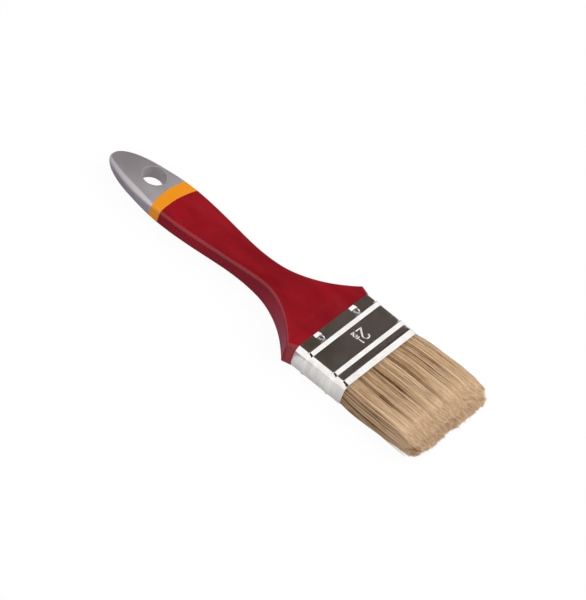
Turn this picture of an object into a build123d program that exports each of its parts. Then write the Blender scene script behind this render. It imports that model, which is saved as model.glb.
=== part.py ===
from build123d import *
import math
import os

# Flat bristle brush, 2 1/2 in: a shaped wood handle with a hanging hole, a formed tin ferrule
# nailed to it, and a bristle tuft set in resin round a wooden spacer plug.
# +X runs along the brush towards the bristle tips, Y across its width, +Z up, lying flat.
# Every piece is drawn with X = 0 at the ferrule's mouth and Z = 0 at mid-thickness,
# and is moved as it is written, so that the origin is the centre of the brush's underside.

# Ferrule: a flat sleeve of tin with blunt ends, two pressed ridges and a curled mouth
ferrule_width = 63.5
ferrule_thickness = 16.0
ferrule_length = 34.8
ferrule_crown = 0.2
ferrule_bulge = 1.0
ferrule_corner_round = 3.0
sheet = 0.4
ridge_height = 1.0
ridge_rise = 1.0
ridge_crest = 0.4
ridge_fall = 2.1
ridge_side_share = 0.35
rear_ridge_from_rear = 6.1
front_ridge_from_mouth = 11.6
lip_ridge_from_mouth = 4.8
lip_ridge_rise = 1.2
lip_ridge_height = 0.55
lip_curl = 0.3

# Handle: flat belly, narrow neck, and a shoulder that stands proud of the ferrule
handle_length = 157.2
nose_length = 46.5
belly_half_width = 14.9
neck_from_ferrule = 46.1
neck_half_width = 9.4
shoulder_bevel = 5.3
shoulder_overhang = 1.1
sweep_power = 2.05
belly_half_thickness = 5.0
thickening_start_from_ferrule = 65.7
thickening_end_from_ferrule = 23.5
face_crown = 0.6
side_bulge = 0.25
edge_round = 1.8
nose_edge_round = 4.4
nose_power = 4.0
nose_fullness = 0.996
nose_stations = 7
taper_stations = 4
sweep_stations = 7

# Tongue: the part of the handle that the ferrule grips
tongue_length = 14.0
seat_gap = 0.1

# Hanging hole near the end of the handle, drilled off its middle line
hole_from_end = 27.1
hole_offset = 3.0
hole_radius = 6.85
hole_rim_round = 0.85
hole_rim_turn = 75
hole_flare = 4.0

# Nails that hold the ferrule on the tongue, two from each face
nail_from_rear = 4.2
nail_spacing = 30.0
nail_shank_radius = 0.65
nail_length = 6.0
nail_point = 1.5
nail_head_radius = 1.4
nail_head_height = 0.6
nail_head_bevel = 0.35
nail_gap = 0.05
dimple_radius = 1.9
dimple_floor_radius = 1.5
dimple_depth = 0.35

# Bristle roots: a block set in resin, with the spacer plug in it and a trough for the tuft
heel_mouth_setback = 3.0
plug_width = 52.0
plug_thickness = 3.2
plug_length = 10.5
trough_gap = 0.3

# Tuft: the free bristles, which bend about a line just outside the mouth
tuft_length = 50.0
tuft_side_gap = 0.45
tuft_pivot_beyond_mouth = 0.5
tuft_edge_round = 3.0
tuft_crown = 0.4
tuft_flare = 2.2
tuft_swell = 0.5
tuft_full_from_mouth = 15.0
tuft_taper_from_mouth = 32.0
tuft_tip_half_thickness = 1.8
tuft_tip_inset = 2.2
tuft_stations = 6

# Places along the brush, worked out from the sizes above
ferrule_rear = -ferrule_length
handle_end = ferrule_rear - handle_length
belly_x = handle_end + nose_length
neck_x = ferrule_rear - neck_from_ferrule
shoulder_x = ferrule_rear - shoulder_bevel
tongue_end = ferrule_rear + tongue_length
hole_x = handle_end + hole_from_end
nail_x = ferrule_rear + nail_from_rear
face_z = ferrule_thickness / 2
shoulder_half_width = ferrule_width / 2 + shoulder_overhang
tuft_root_half_width = ferrule_width / 2 - sheet - lip_curl - tuft_side_gap
tuft_root_radius = face_z - sheet - lip_curl - tuft_side_gap
pivot_x = tuft_pivot_beyond_mouth

# Where the whole brush lies: centred along its length and standing on its ridge crests
middle_x = (handle_end + tuft_length) / 2
rest_height = face_z + ridge_height


def ease(share):
    """Go smoothly from 0 to 1 as share goes from 0 to 1, level at both ends."""
    share = min(max(share, 0.0), 1.0)
    return (1 - math.cos(math.pi * share)) / 2


def blend(start, end, share):
    """The value between start and end at an eased share of the way."""
    return start + (end - start) * ease(share)


def nose_share(x):
    """How far x lies along the nose's curve: 0 at the belly, and just short of 1 at its blunt end."""
    return nose_fullness * min(max((belly_x - x) / nose_length, 0.0), 1.0)


def half_width(x):
    """Half-width of the handle: an elliptical nose, an eased taper and a swept shoulder."""
    if x <= belly_x:
        return belly_half_width * math.sqrt(1 - nose_share(x) ** 2)
    if x <= neck_x:
        return blend(belly_half_width, neck_half_width, (x - belly_x) / (neck_x - belly_x))
    swept = ((x - neck_x) / (shoulder_x - neck_x)) ** sweep_power
    return neck_half_width + (shoulder_half_width - neck_half_width) * swept


def half_thickness(x):
    """Half-thickness of the handle: a rounded nose, an even belly and an eased thickening."""
    start = ferrule_rear - thickening_start_from_ferrule
    end = ferrule_rear - thickening_end_from_ferrule
    body = blend(belly_half_thickness, face_z, (x - start) / (end - start))
    return body * math.sqrt(1 - nose_share(x) ** nose_power)


def corner_round(x):
    """Rounding of the handle's long edges: large at the nose, small from the belly on."""
    wanted = blend(edge_round, nose_edge_round, 1.6 * nose_share(x))
    return min(wanted, 0.7 * half_thickness(x), 0.7 * half_width(x))


def oblong(x, width, thickness, crown, bulge, rounding):
    """A cross-section at x: bowed faces and sides that meet in rounded corners, from half-sizes."""
    corner_y = width - bulge
    corner_z = thickness - crown
    with BuildSketch(Plane.YZ.offset(x)) as section:
        with BuildLine():
            ThreePointArc((-corner_y, corner_z), (0, thickness), (corner_y, corner_z))
            ThreePointArc((corner_y, corner_z), (width, 0), (corner_y, -corner_z))
            ThreePointArc((corner_y, -corner_z), (0, -thickness), (-corner_y, -corner_z))
            ThreePointArc((-corner_y, -corner_z), (-width, 0), (-corner_y, corner_z))
        make_face()
        fillet(section.vertices(), rounding)
    return section.sketch


def handle_section(x):
    """Cross-section of the handle's grip at x."""
    thickness = half_thickness(x)
    crown = min(face_crown, 0.12 * thickness)
    return oblong(x, half_width(x), thickness, crown, side_bulge, corner_round(x))


def sleeve_section(x, rise, inset):
    """Cross-section of the ferrule at x, raised by a ridge's height and moved inwards by an inset."""
    rounding = ferrule_corner_round + rise - inset
    width = ferrule_width / 2 + rise * ridge_side_share - inset
    return oblong(x, width, face_z + rise - inset, ferrule_crown, ferrule_bulge, rounding)


def sleeve_block(start, end, inset):
    """A straight block of the ferrule's own cross-section, moved inwards by an inset."""
    return extrude(sleeve_section(start, 0, inset), end - start)


def ridge_profile(start):
    """One pressed ridge as (x, rise) points: a short rise, a crest and a long fall."""
    crest = start + ridge_rise
    fall = crest + ridge_crest
    return [(start, 0), (crest, ridge_height), (fall, ridge_height), (fall + ridge_fall, 0)]


def make_ferrule():
    """The tin sleeve: outer and inner walls follow one profile, a sheet apart."""
    lip_start = -lip_ridge_from_mouth
    profile = [(ferrule_rear, 0)]
    profile += ridge_profile(ferrule_rear + rear_ridge_from_rear)
    profile += ridge_profile(-front_ridge_from_mouth)
    profile += [(lip_start, 0), (lip_start + lip_ridge_rise, lip_ridge_height), (0, -lip_curl)]
    outer = loft([sleeve_section(x, rise, 0) for x, rise in profile], ruled=True)
    inner = loft([sleeve_section(x, rise, sheet) for x, rise in profile], ruled=True)
    ferrule = outer - inner
    for place in nail_places():
        ferrule += place * dimple(sheet)
        ferrule -= place * (dimple(0) + nail_hole())
    return ferrule


def handle_stations():
    """Places of the handle's cross-sections, closer together where it curves most."""
    turns = [math.pi / 2 * (1 - i / nose_stations) for i in range(nose_stations)]
    nose = [belly_x - nose_length * math.sin(turn) for turn in turns]
    taper = [belly_x + (neck_x - belly_x) * i / taper_stations for i in range(taper_stations)]
    sweep = [neck_x + (shoulder_x - neck_x) * i / sweep_stations for i in range(sweep_stations + 1)]
    return nose + taper + sweep


def make_handle():
    """The wood handle: a lofted grip, a bevelled shoulder, the tongue and the hanging hole."""
    stations = handle_stations()
    grip = loft([handle_section(x) for x in stations])
    shoulder = loft([handle_section(shoulder_x), sleeve_section(ferrule_rear, 0, 0)], ruled=True)
    tongue = sleeve_block(ferrule_rear, tongue_end, sheet + seat_gap)
    handle = grip + shoulder + tongue
    handle -= Pos(hole_x, hole_offset, 0) * hole_cutter()
    for place in nail_places():
        handle -= place * (dimple(sheet + seat_gap) + nail_hole())
    return handle


def hole_cutter():
    """The hanging hole's cutter: a straight wall that opens out at both faces in a round rim."""
    rim_z = half_thickness(hole_x) - hole_rim_round
    with BuildSketch(Plane.XZ) as outline:
        with BuildLine():
            rim = CenterArc((hole_radius + hole_rim_round, rim_z), hole_rim_round, 180, -hole_rim_turn)
            flare = Line(rim @ 1, rim @ 1 + rim % 1 * hole_flare)
            Polyline(flare @ 1, (0, (flare @ 1).Y), (0, 0), (hole_radius, 0), rim @ 0)
        make_face()
    upper = revolve(outline.sketch, Axis.Z)
    return upper + Rot(180, 0, 0) * upper


def nail_places():
    """Where the four nails go in: two on the upper face and two on the lower."""
    places = []
    for face in (0, 180):
        for side in (-1, 1):
            places.append(Rot(face, 0, 0) * Pos(nail_x, side * nail_spacing / 2, face_z))
    return places


def dimple(sink):
    """The dish that a nail draws into the sheet, from the face at Z = 0, sunk by a distance."""
    dish = Cone(dimple_floor_radius, dimple_radius, dimple_depth)
    return Pos(0, 0, -sink - dimple_depth / 2) * dish


def nail_hole():
    """The hole that a nail's shank fills in the tin and the wood, below the face at Z = 0."""
    depth = dimple_depth + nail_length + nail_gap
    return Pos(0, 0, -depth / 2) * Cylinder(nail_shank_radius + nail_gap, depth)


def make_nail():
    """One nail, turned about its axis: a pointed shank and a flat head with a wide bevel."""
    with BuildSketch(Plane.XZ) as outline:
        with BuildLine():
            Polyline(
                (0, nail_head_height),
                (0, -nail_length),
                (nail_shank_radius, nail_point - nail_length),
                (nail_shank_radius, 0),
                (nail_head_radius, 0),
                (nail_head_radius, nail_head_height - nail_head_bevel),
                (nail_head_radius - nail_head_bevel, nail_head_height),
                close=True,
            )
        make_face()
    return revolve(outline.sketch, Axis.Z)


def tuft_section(x, grow=0):
    """Cross-section of the tuft at x: it flares and swells from its root, then thins to its tips."""
    opening = ease((x - pivot_x) / (tuft_full_from_mouth - pivot_x))
    taper = max((x - tuft_taper_from_mouth) / (tuft_length - tuft_taper_from_mouth), 0) ** 2
    width = tuft_root_half_width + tuft_flare * opening - tuft_tip_inset * taper
    full = tuft_root_radius + tuft_swell * opening
    thickness = full + (tuft_tip_half_thickness - full) * taper
    rounding = min(tuft_edge_round, 0.6 * thickness) + grow
    crown = min(tuft_crown, 0.12 * thickness)
    return oblong(x, width + grow, thickness + grow, crown, tuft_crown, rounding)


def tuft_root(grow):
    """The tuft's half-round root about the pivot line, grown all round by a clearance."""
    upper = tuft_section(pivot_x, grow) & Pos(pivot_x, 0, face_z) * Box(1, 2 * ferrule_width, 2 * face_z)
    return revolve(upper, Axis((pivot_x, 0, 0), (0, -1, 0)), 180)


def make_tuft():
    """The free bristles as one soft solid: half-round root, slight flare and thinned tips."""
    step = (tuft_length - pivot_x) / tuft_stations
    sections = [tuft_section(pivot_x + step * i) for i in range(tuft_stations + 1)]
    return loft(sections, ruled=True) + tuft_root(0)


def plug_block(gap):
    """The spacer plug's block, grown by a gap, standing on the tongue's end."""
    start = tongue_end + seat_gap
    length = plug_length + gap
    box = Box(length, plug_width + 2 * gap, plug_thickness + 2 * gap)
    return Pos(start + length / 2, 0, 0) * box


def make_heel():
    """The resin-set bristle roots: they fill the ferrule round the plug, behind the tuft."""
    start = tongue_end + seat_gap
    block = sleeve_block(start, -heel_mouth_setback, sheet + seat_gap)
    return block - tuft_root(trough_gap) - plug_block(seat_gap)


pieces = {
    "handle": make_handle(),
    "ferrule": make_ferrule(),
    "bristle_heel": make_heel(),
    "spacer_plug": plug_block(0),
    "bristle_tuft": make_tuft(),
}
nail_names = ["nail_top_right", "nail_top_left", "nail_under_left", "nail_under_right"]
for nail_name, place in zip(nail_names, nail_places()):
    pieces[nail_name] = place * Pos(0, 0, -dimple_depth) * make_nail()

os.makedirs("parts", exist_ok=True)
for name, piece in pieces.items():
    export_step(Pos(-middle_x, 0, rest_height) * piece, f"parts/{name}.step")
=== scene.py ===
import logging
import math
from dataclasses import dataclass, field
from enum import Enum

import bmesh
import bpy
import numpy as np
from mathutils import Matrix, Vector


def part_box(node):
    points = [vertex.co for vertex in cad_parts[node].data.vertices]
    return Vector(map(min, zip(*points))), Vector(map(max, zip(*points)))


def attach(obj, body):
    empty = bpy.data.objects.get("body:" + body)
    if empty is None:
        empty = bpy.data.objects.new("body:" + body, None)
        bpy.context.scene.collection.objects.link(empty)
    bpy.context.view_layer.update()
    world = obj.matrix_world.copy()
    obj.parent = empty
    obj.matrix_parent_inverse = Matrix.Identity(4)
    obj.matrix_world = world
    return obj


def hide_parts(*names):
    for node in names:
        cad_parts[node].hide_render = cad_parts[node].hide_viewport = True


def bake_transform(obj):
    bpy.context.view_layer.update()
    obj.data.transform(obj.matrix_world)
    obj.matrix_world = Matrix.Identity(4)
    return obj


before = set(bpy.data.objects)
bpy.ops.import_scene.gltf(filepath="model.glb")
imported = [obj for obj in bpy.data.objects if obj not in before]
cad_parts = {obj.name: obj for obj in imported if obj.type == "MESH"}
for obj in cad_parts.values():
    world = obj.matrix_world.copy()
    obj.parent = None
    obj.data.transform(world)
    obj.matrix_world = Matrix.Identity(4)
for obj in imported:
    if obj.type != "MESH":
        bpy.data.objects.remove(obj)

LOG = logging.getLogger("flat_brush")
MM = 0.001
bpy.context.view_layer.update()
BRISTLE_MAP = "OFBake"


class Body(Enum):
    """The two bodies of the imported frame."""

    GRIP = "grip"
    TUFT = "tuft"


class Face(Enum):
    """Which shell of the tuft a group of bristles fills."""

    UPPER = "upper"
    UNDER = "under"
    EDGES = "edges"
    INNER = "inner"


# ---------------------------------------------------------------- numbers and curves


def ease(share: np.ndarray) -> np.ndarray:
    """Smoothstep of shares of any shape: 3 t^2 - 2 t^3 of the share t, held between 0 and 1."""
    held = np.clip(share, 0.0, 1.0)
    return held * held * (3.0 - 2.0 * held)


def bump(distance: np.ndarray, reach: float | np.ndarray) -> np.ndarray:
    """A bell from 0 to 1: e to the minus (distance / reach) squared, about a third at its reach."""
    return np.exp(-np.square(distance / reach))


def fine_steps(low: float, high: float, coarse: float, zones: list[tuple[float, float, float]]) -> np.ndarray:
    """Stations from low to high, coarse in general and closer together inside the zones.

    Args:
        low: first station.
        high: last station.
        coarse: step outside the zones.
        zones: (start, end, step) of each finer stretch.

    Returns:
        Sorted stations with both ends, none closer than a third of the finest step.
    """
    parts = [np.linspace(low, high, max(2, int(round((high - low) / coarse)) + 1))]
    for start, end, step in zones:
        start, end = max(start, low), min(end, high)
        parts[0] = parts[0][(parts[0] < start - coarse * 0.3) | (parts[0] > end + coarse * 0.3)]
        parts.append(np.linspace(start, end, max(2, int(round((end - start) / step)) + 1)))
    joined = np.unique(np.concatenate([*parts, [low, high]]).round(7))
    finest = min([coarse, *[zone[2] for zone in zones]])
    keep = np.concatenate([[True], np.diff(joined) > finest * 0.3])
    return joined[keep]


# ---------------------------------------------------------------- meshes


def mesh_object(name: str, points: np.ndarray, faces: list[np.ndarray],
                smooth: bool = True) -> bpy.types.Object:
    """Puts points and faces into a new object at the origin.

    Args:
        name: the piece's name.
        points: vertices, one row each, in metres.
        faces: arrays of vertex numbers, one row a face, each array with its own number of corners.
        smooth: whether the faces are shaded smooth.

    Returns:
        The linked object.
    """
    mesh = bpy.data.meshes.new(name)
    mesh.vertices.add(len(points))
    mesh.vertices.foreach_set("co", points.astype(np.float32).ravel())
    corners = np.concatenate([part.ravel() for part in faces])
    mesh.loops.add(len(corners))
    mesh.loops.foreach_set("vertex_index", corners.astype(np.int32))
    sizes = np.concatenate([np.full(len(part), part.shape[1]) for part in faces])
    mesh.polygons.add(len(sizes))
    mesh.polygons.foreach_set("loop_start", (np.cumsum(sizes) - sizes).astype(np.int32))
    mesh.polygons.foreach_set("use_smooth", np.full(len(sizes), smooth))
    mesh.update(calc_edges=True)
    mesh.validate()
    obj = bpy.data.objects.new(name, mesh)
    bpy.context.scene.collection.objects.link(obj)
    return obj


def flat_quad(name: str, corners: list[tuple[float, float, float]]) -> bpy.types.Object:
    """A single four-cornered face as its own object."""
    return mesh_object(name, np.array(corners), [np.array([[0, 1, 2, 3]])], smooth=False)


def grid_faces(rows: int, columns: int, close_rows: bool) -> np.ndarray:
    """Quads of a grid whose vertices are numbered row by row, with its last column joined to its first.

    Args:
        rows: number of rows.
        columns: number of columns.
        close_rows: joins the last row to the first.

    Returns:
        One row of four vertex numbers for each quad.
    """
    row = np.arange(rows if close_rows else rows - 1)[:, None]
    column = np.arange(columns)[None, :]
    next_row = (row + 1) % rows
    next_column = (column + 1) % columns
    corners = [row * columns + column, next_row * columns + column,
               next_row * columns + next_column, row * columns + next_column]
    return np.stack(corners, axis=-1).reshape(-1, 4)


# ---------------------------------------------------------------- materials


def linear(red: int, green: int, blue: int) -> tuple[float, float, float, float]:
    """An opaque scene-linear colour.

    Args:
        red: display value from 0 to 255.
        green: the same for green.
        blue: the same for blue.

    Returns:
        The colour, with an alpha of 1.
    """
    values = np.array([red, green, blue]) / 255.0
    curve = np.where(values <= 0.04045, values / 12.92, ((values + 0.055) / 1.055) ** 2.4)
    return (*curve.tolist(), 1.0)


class Nodes:
    """Adds shader nodes to a tree and links them in one call."""

    def __init__(self, tree: bpy.types.NodeTree) -> None:
        """Keeps the tree that the nodes go into."""
        self.tree = tree

    def add(self, kind: str, inputs: dict | None = None, **settings: object) -> bpy.types.Node:
        """Adds a node.

        Args:
            kind: the node's type name.
            inputs: a value or an output socket for each input, by its name or number.
            settings: the node's own properties.

        Returns:
            The new node.
        """
        node = self.tree.nodes.new(kind)
        for key, value in settings.items():
            setattr(node, key, value)
        for key, value in (inputs or {}).items():
            if isinstance(value, bpy.types.NodeSocket):
                self.tree.links.new(value, node.inputs[key])
            else:
                node.inputs[key].default_value = value
        return node

    def link(self, value: bpy.types.NodeSocket, socket: bpy.types.NodeSocket) -> None:
        """Joins an output to an input."""
        self.tree.links.new(value, socket)

    def place(self) -> bpy.types.NodeSocket:
        """The place on the object, in metres; returns the output."""
        return self.add("ShaderNodeTexCoord").outputs["Object"]

    def grouped(self, tree: bpy.types.NodeTree, vector: bpy.types.NodeSocket,
                **numbers: float) -> bpy.types.NodeSocket:
        """Puts a node group on a vector, with its numbers set; returns its only output."""
        return self.add("ShaderNodeGroup", {"Vector": vector, **numbers}, node_tree=tree).outputs[0]

    def maths(self, operation: str, first: object, second: object = 0.0,
              third: object = 0.0) -> bpy.types.NodeSocket:
        """One step of arithmetic on numbers or sockets; returns its output."""
        return self.add("ShaderNodeMath", {0: first, 1: second, 2: third}, operation=operation).outputs[0]

    def noise(self, vector: bpy.types.NodeSocket, scale: object, detail: float = 3.0, rough: float = 0.5,
              distortion: float = 0.0) -> bpy.types.NodeSocket:
        """Smooth noise of a vector, near 0.5 on average; returns its output."""
        inputs = {"Vector": vector, "Scale": scale, "Detail": detail, "Roughness": rough,
                  "Distortion": distortion}
        return self.add("ShaderNodeTexNoise", inputs).outputs["Fac"]

    def ranged(self, value: bpy.types.NodeSocket, low: float, high: float, start: float = 0.0,
               end: float = 1.0) -> bpy.types.NodeSocket:
        """The value carried from low..high to start..end and held there; returns its output."""
        node = self.add("ShaderNodeMapRange", {0: value, 1: low, 2: high, 3: start, 4: end})
        return node.outputs[0]

    def mixed(self, share: object, first: object, second: object) -> bpy.types.NodeSocket:
        """A colour between two colours at a share; returns its output."""
        node = self.add("ShaderNodeMix", {0: share, 6: first, 7: second}, data_type="RGBA")
        return node.outputs[2]

    def stretched(self, vector: bpy.types.NodeSocket,
                  scale: tuple[float, float, float]) -> bpy.types.NodeSocket:
        """A vector scaled along each axis; returns its output."""
        return self.add("ShaderNodeMapping", {"Vector": vector, "Scale": scale}).outputs[0]


def new_group(name: str, result: str, numbers: dict[str, float]) -> tuple[
        bpy.types.NodeTree, Nodes, bpy.types.NodeOutputs, bpy.types.NodeSocket]:
    """Starts a shader node group that takes a vector and numbers and gives one number.

    Args:
        name: the group's name.
        result: its output's name.
        numbers: each number input's name and usual value.

    Returns:
        The group, its node helper, the sockets that give its inputs, and the one that takes its result.
    """
    group = bpy.data.node_groups.new(name, "ShaderNodeTree")
    group.interface.new_socket("Vector", in_out="INPUT", socket_type="NodeSocketVector")
    for number, value in numbers.items():
        socket = group.interface.new_socket(number, in_out="INPUT", socket_type="NodeSocketFloat")
        socket.default_value = value
    group.interface.new_socket(result, in_out="OUTPUT", socket_type="NodeSocketFloat")
    nodes = Nodes(group)
    return group, nodes, nodes.add("NodeGroupInput").outputs, nodes.add("NodeGroupOutput").inputs[0]


class SharedEffects:
    """The node groups that more than one finish uses."""

    def __init__(self) -> None:
        """Builds each group once."""
        self.smudge = self._smudge()
        self.grain = self._grain()

    def _smudge(self) -> bpy.types.NodeTree:
        """Handling marks: broad soft noise plus fine rubbed streaks.

        Returns:
            The group, which gives 0 where the finish is clean and 1 where it is marked.
        """
        group, nodes, given, result = new_group("handling_smudge", "Mask", {"Broad": 60.0, "Fine": 900.0})
        broad = nodes.noise(given["Vector"], given["Broad"], distortion=0.6)
        rubbed = nodes.stretched(given["Vector"], (1.0, 0.25, 1.0))
        fine = nodes.noise(rubbed, given["Fine"], detail=2.0)
        joined = nodes.maths("MULTIPLY_ADD", fine, 0.35, nodes.maths("MULTIPLY", broad, 0.65))
        nodes.link(nodes.ranged(joined, 0.35, 0.65), result)
        return group

    def _grain(self) -> bpy.types.NodeTree:
        """Wood grain along X: noise stretched along the wood.

        Returns:
            The group, which gives 0 in an open pore and 1 on a raised line.
        """
        group, nodes, given, result = new_group("wood_grain", "Height", {"Lines": 900.0})
        drawn = nodes.stretched(given["Vector"], (0.04, 1.0, 0.6))
        lines = nodes.noise(drawn, given["Lines"], detail=4.0, rough=0.6, distortion=0.4)
        nodes.link(nodes.ranged(lines, 0.3, 0.7), result)
        return group


@dataclass(frozen=True)
class Finish:
    """A finish: the plain values that go straight onto the shader's own sockets."""

    name: str
    roughness: float = 0.5
    metallic: float = 0.0
    specular: float = 0.5

    def start(self) -> tuple[bpy.types.Material, Nodes, bpy.types.Node]:
        """Starts a material with one principled shader.

        Returns:
            The material, its node helper and the shader node.
        """
        material = bpy.data.materials.new(self.name)
        material.use_nodes = True
        nodes = Nodes(material.node_tree)
        shader = material.node_tree.nodes["Principled BSDF"]
        shader.inputs["Roughness"].default_value = self.roughness
        shader.inputs["Metallic"].default_value = self.metallic
        shader.inputs["Specular IOR Level"].default_value = self.specular
        return material, nodes, shader

    def bumped(self, nodes: Nodes, shader: bpy.types.Node, height: bpy.types.NodeSocket,
               depth: float) -> None:
        """Feeds the shader's normal a bump whose height map runs from 0 to 1 over a depth in metres."""
        bump_node = nodes.add("ShaderNodeBump", {"Height": height, "Distance": depth, "Strength": 1.0})
        nodes.link(bump_node.outputs[0], shader.inputs["Normal"])


@dataclass(frozen=True)
class DippedLacquer(Finish):
    """Gloss red lacquer with an orange ring and a silver dipped end, over faint wood grain; the silver end
    carries painted light, growing lighter towards the ring.
    """

    name: str = "dipped_lacquer"
    roughness: float = 0.17
    specular: float = 0.54
    red: tuple = linear(160, 14, 30)
    deep_red: tuple = linear(137, 7, 24)
    orange: tuple = linear(250, 154, 20)
    silver: tuple = linear(188, 180, 184)
    # the colour of the silver's flakes, and also the painted light that the silver grows towards near the
    # ring
    silver_flake_and_lit: tuple = linear(218, 214, 218)
    silver_metallic: float = 0.62
    silver_roughness: float = 0.38
    silver_line: tuple = (0.024, 8.5)
    ring_line: tuple = (0.10, 7.5)
    waver: float = 0.25 * MM
    line_blur: float = 0.06 * MM
    # painted light: how far before the ring the silver starts to grow lighter
    lit_run: float = 30.0 * MM
    orange_peel: float = 0.025 * MM
    ring_start: float = 0.0
    ring_end: float = 0.0

    def edge(self, nodes: Nodes, place: bpy.types.Node, start: float, skew: float,
             bow: float) -> bpy.types.NodeSocket:
        """A mask that is 1 past a dip line x = start + skew y + bow y^2, with a hair of waver.

        Args:
            nodes: the material's node helper.
            place: a Separate XYZ node of the object's coordinates.
            start: where the line crosses the middle, in metres.
            skew: slope of the line.
            bow: curvature of the line, per metre.

        Returns:
            The mask's output.
        """
        across = place.outputs["Y"]
        line = nodes.maths("MULTIPLY_ADD", nodes.maths("MULTIPLY", across, across), bow, start)
        line = nodes.maths("MULTIPLY_ADD", across, skew, line)
        past = nodes.maths("SUBTRACT", place.outputs["X"], line)
        return nodes.ranged(past, -self.line_blur, self.line_blur)

    def build(self, effects: SharedEffects) -> bpy.types.Material:
        """Builds the material.

        Args:
            effects: the shared node groups.

        Returns:
            The material.
        """
        material, nodes, shader = self.start()
        coordinates = nodes.place()
        wander = nodes.noise(coordinates, scale=220.0, detail=2.0)
        inputs = {0: wander, 1: (self.waver, 0.0, 0.0), 2: coordinates}
        shifted = nodes.add("ShaderNodeVectorMath", inputs, operation="MULTIPLY_ADD")
        place = nodes.add("ShaderNodeSeparateXYZ", {0: shifted.outputs[0]})
        past_silver = self.edge(nodes, place, self.ring_start, *self.silver_line)
        past_ring = self.edge(nodes, place, self.ring_end, *self.ring_line)

        drawn = nodes.stretched(coordinates, (0.35, 1.0, 1.0))
        streaks = nodes.noise(drawn, scale=95.0, detail=4.0, rough=0.55)
        clouds = nodes.noise(coordinates, scale=38.0, detail=2.0)
        depth = nodes.maths("MULTIPLY_ADD", streaks, 0.55, nodes.maths("MULTIPLY", clouds, 0.45))
        red = nodes.mixed(nodes.ranged(depth, 0.4, 0.62), self.deep_red, self.red)
        flakes = nodes.ranged(nodes.noise(coordinates, scale=2600.0, detail=1.0), 0.35, 0.7, 0.0, 0.25)
        # painted light: the silver is mixed towards its lighter colour over the last stretch before the ring
        thin = self.ring_start - self.lit_run
        lit_toward_ring = nodes.ranged(place.outputs["X"], thin, self.ring_start, 0.0, 0.8)
        silver = nodes.mixed(nodes.maths("MAXIMUM", flakes, lit_toward_ring), self.silver, self.silver_flake_and_lit)
        lower = nodes.mixed(past_silver, silver, self.orange)
        nodes.link(nodes.mixed(past_ring, lower, red), shader.inputs["Base Color"])
        bare = nodes.maths("SUBTRACT", 1.0, past_silver)
        nodes.link(nodes.maths("MULTIPLY", bare, self.silver_metallic), shader.inputs["Metallic"])

        mask = nodes.grouped(effects.smudge, coordinates)
        worn = nodes.ranged(mask, 0.0, 1.0, self.roughness - 0.05, self.roughness + 0.09)
        extra = nodes.maths("MULTIPLY", bare, self.silver_roughness - self.roughness)
        nodes.link(nodes.maths("ADD", worn, extra), shader.inputs["Roughness"])

        peel = nodes.noise(coordinates, scale=420.0, detail=2.0)
        grain = nodes.grouped(effects.grain, coordinates, Lines=700.0)
        wooden = nodes.maths("MULTIPLY", grain, past_silver)
        height = nodes.maths("MULTIPLY_ADD", wooden, 0.25, nodes.maths("MULTIPLY", peel, 0.75))
        self.bumped(nodes, shader, height, self.orange_peel)
        return material


@dataclass(frozen=True)
class RolledTin(Finish):
    """Bright rolled tin: nearly a mirror, with handling smudges, and duller with lighter and darker bands
    down its narrow sides."""

    name: str = "rolled_tin"
    roughness: float = 0.1
    metallic: float = 1.0
    side: float = 30.4 * MM
    rolling: float = 0.03 * MM
    side_band_light: tuple = linear(254, 252, 249)
    side_band_dark: tuple = linear(236, 232, 229)
    colour: tuple = linear(252, 251, 249)
    dull: tuple = linear(240, 237, 233)

    def build(self, effects: SharedEffects) -> bpy.types.Material:
        """Builds the material.

        Args:
            effects: the shared node groups.

        Returns:
            The material.
        """
        material, nodes, shader = self.start()
        coordinates = nodes.place()
        mask = nodes.grouped(effects.smudge, coordinates, Broad=110.0)
        place = nodes.add("ShaderNodeSeparateXYZ", {0: coordinates})
        across = nodes.maths("ABSOLUTE", place.outputs["Y"])
        beside = nodes.ranged(across, self.side - 0.8 * MM, self.side + 0.6 * MM)
        # the narrow sides get soft lighter and darker bands in their colour
        bands = nodes.noise(nodes.stretched(coordinates, (1.0, 0.0, 0.1)), scale=300.0, detail=2.0)
        drawn = nodes.mixed(nodes.ranged(bands, 0.35, 0.65), self.side_band_dark, self.side_band_light)
        polished = nodes.mixed(mask, self.colour, self.dull)
        nodes.link(nodes.mixed(beside, polished, drawn), shader.inputs["Base Color"])
        rubbed = nodes.ranged(mask, 0.0, 1.0, self.roughness - 0.04, self.roughness + 0.07)
        nodes.link(nodes.maths("MULTIPLY_ADD", beside, 0.14, rubbed), shader.inputs["Roughness"])
        rolled = nodes.noise(nodes.stretched(coordinates, (1.0, 0.03, 0.08)), scale=2200.0, detail=2.0)
        waves = nodes.noise(coordinates, scale=150.0, detail=1.0)
        height = nodes.maths("MULTIPLY_ADD", rolled, 0.08, nodes.maths("MULTIPLY", waves, 0.92))
        self.bumped(nodes, shader, height, self.rolling)
        return material


@dataclass(frozen=True)
class NailSteel(RolledTin):
    """Bright nail wire, a little duller than the tin."""

    name: str = "nail_wire_steel"
    roughness: float = 0.26
    colour: tuple = linear(214, 211, 208)
    dull: tuple = linear(160, 155, 150)


@dataclass(frozen=True)
class RawWood(Finish):
    """Unpainted wood for the plug that spaces the bristle roots."""

    name: str = "raw_wood"
    roughness: float = 0.7
    light: tuple = linear(214, 184, 142)
    dark: tuple = linear(168, 128, 84)
    pores: float = 0.08 * MM

    def build(self, effects: SharedEffects) -> bpy.types.Material:
        """Builds the material.

        Args:
            effects: the shared node groups.

        Returns:
            The material.
        """
        material, nodes, shader = self.start()
        coordinates = nodes.place()
        height = nodes.grouped(effects.grain, coordinates, Lines=1100.0)
        nodes.link(nodes.mixed(height, self.dark, self.light), shader.inputs["Base Color"])
        self.bumped(nodes, shader, height, self.pores)
        return material


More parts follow.
